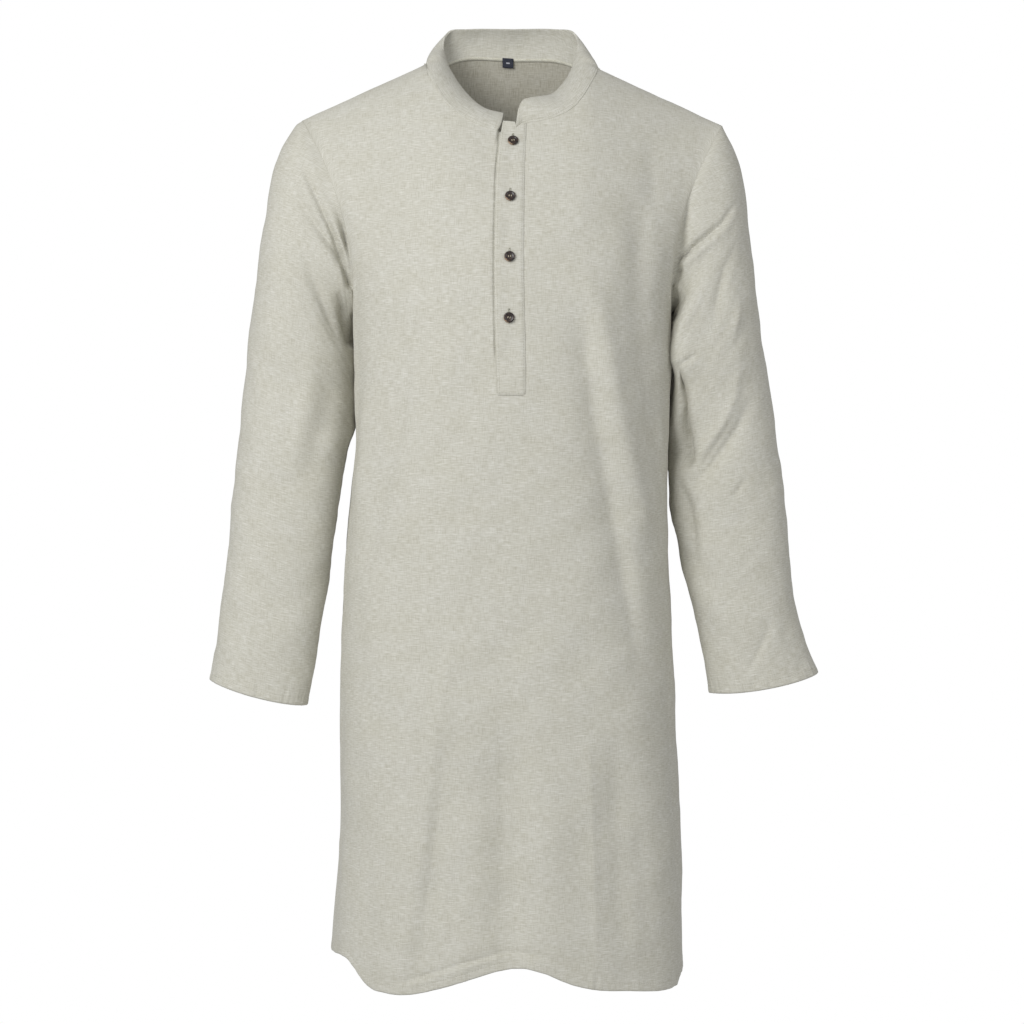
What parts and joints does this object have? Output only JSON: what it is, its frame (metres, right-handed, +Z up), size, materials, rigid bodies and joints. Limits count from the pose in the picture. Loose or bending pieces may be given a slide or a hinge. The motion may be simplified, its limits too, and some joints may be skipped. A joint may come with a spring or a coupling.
{
  "type": "kurta tunic",
  "caption": "Long-sleeved linen kurta with a band collar, a buttoned half placket and a curved shirt-tail hem, hollow in its worn shape.",
  "frame": {"origin": "middle of the neck opening, level with the points where the shoulder seams meet the collar", "axes": "+X to the wearer's left, -Y to the front, +Z up"},
  "size_m": [0.661, 0.2649, 1.0535],
  "materials": {
    "cloth": "plain slubbed linen weave, matte",
    "button": "dark mottled horn, satin",
    "label": "close woven dark navy tape"
  },
  "bodies": {
    "root": {"front": "cloth", "back": "cloth", "sleeve_right": "cloth", "sleeve_left": "cloth", "collar": "cloth", "placket_top": "cloth", "placket_under": "cloth", "button_1": "button", "button_2": "button", "button_3": "button", "button_4": "button", "neck_label": "label"}
  },
  "joints": []
}
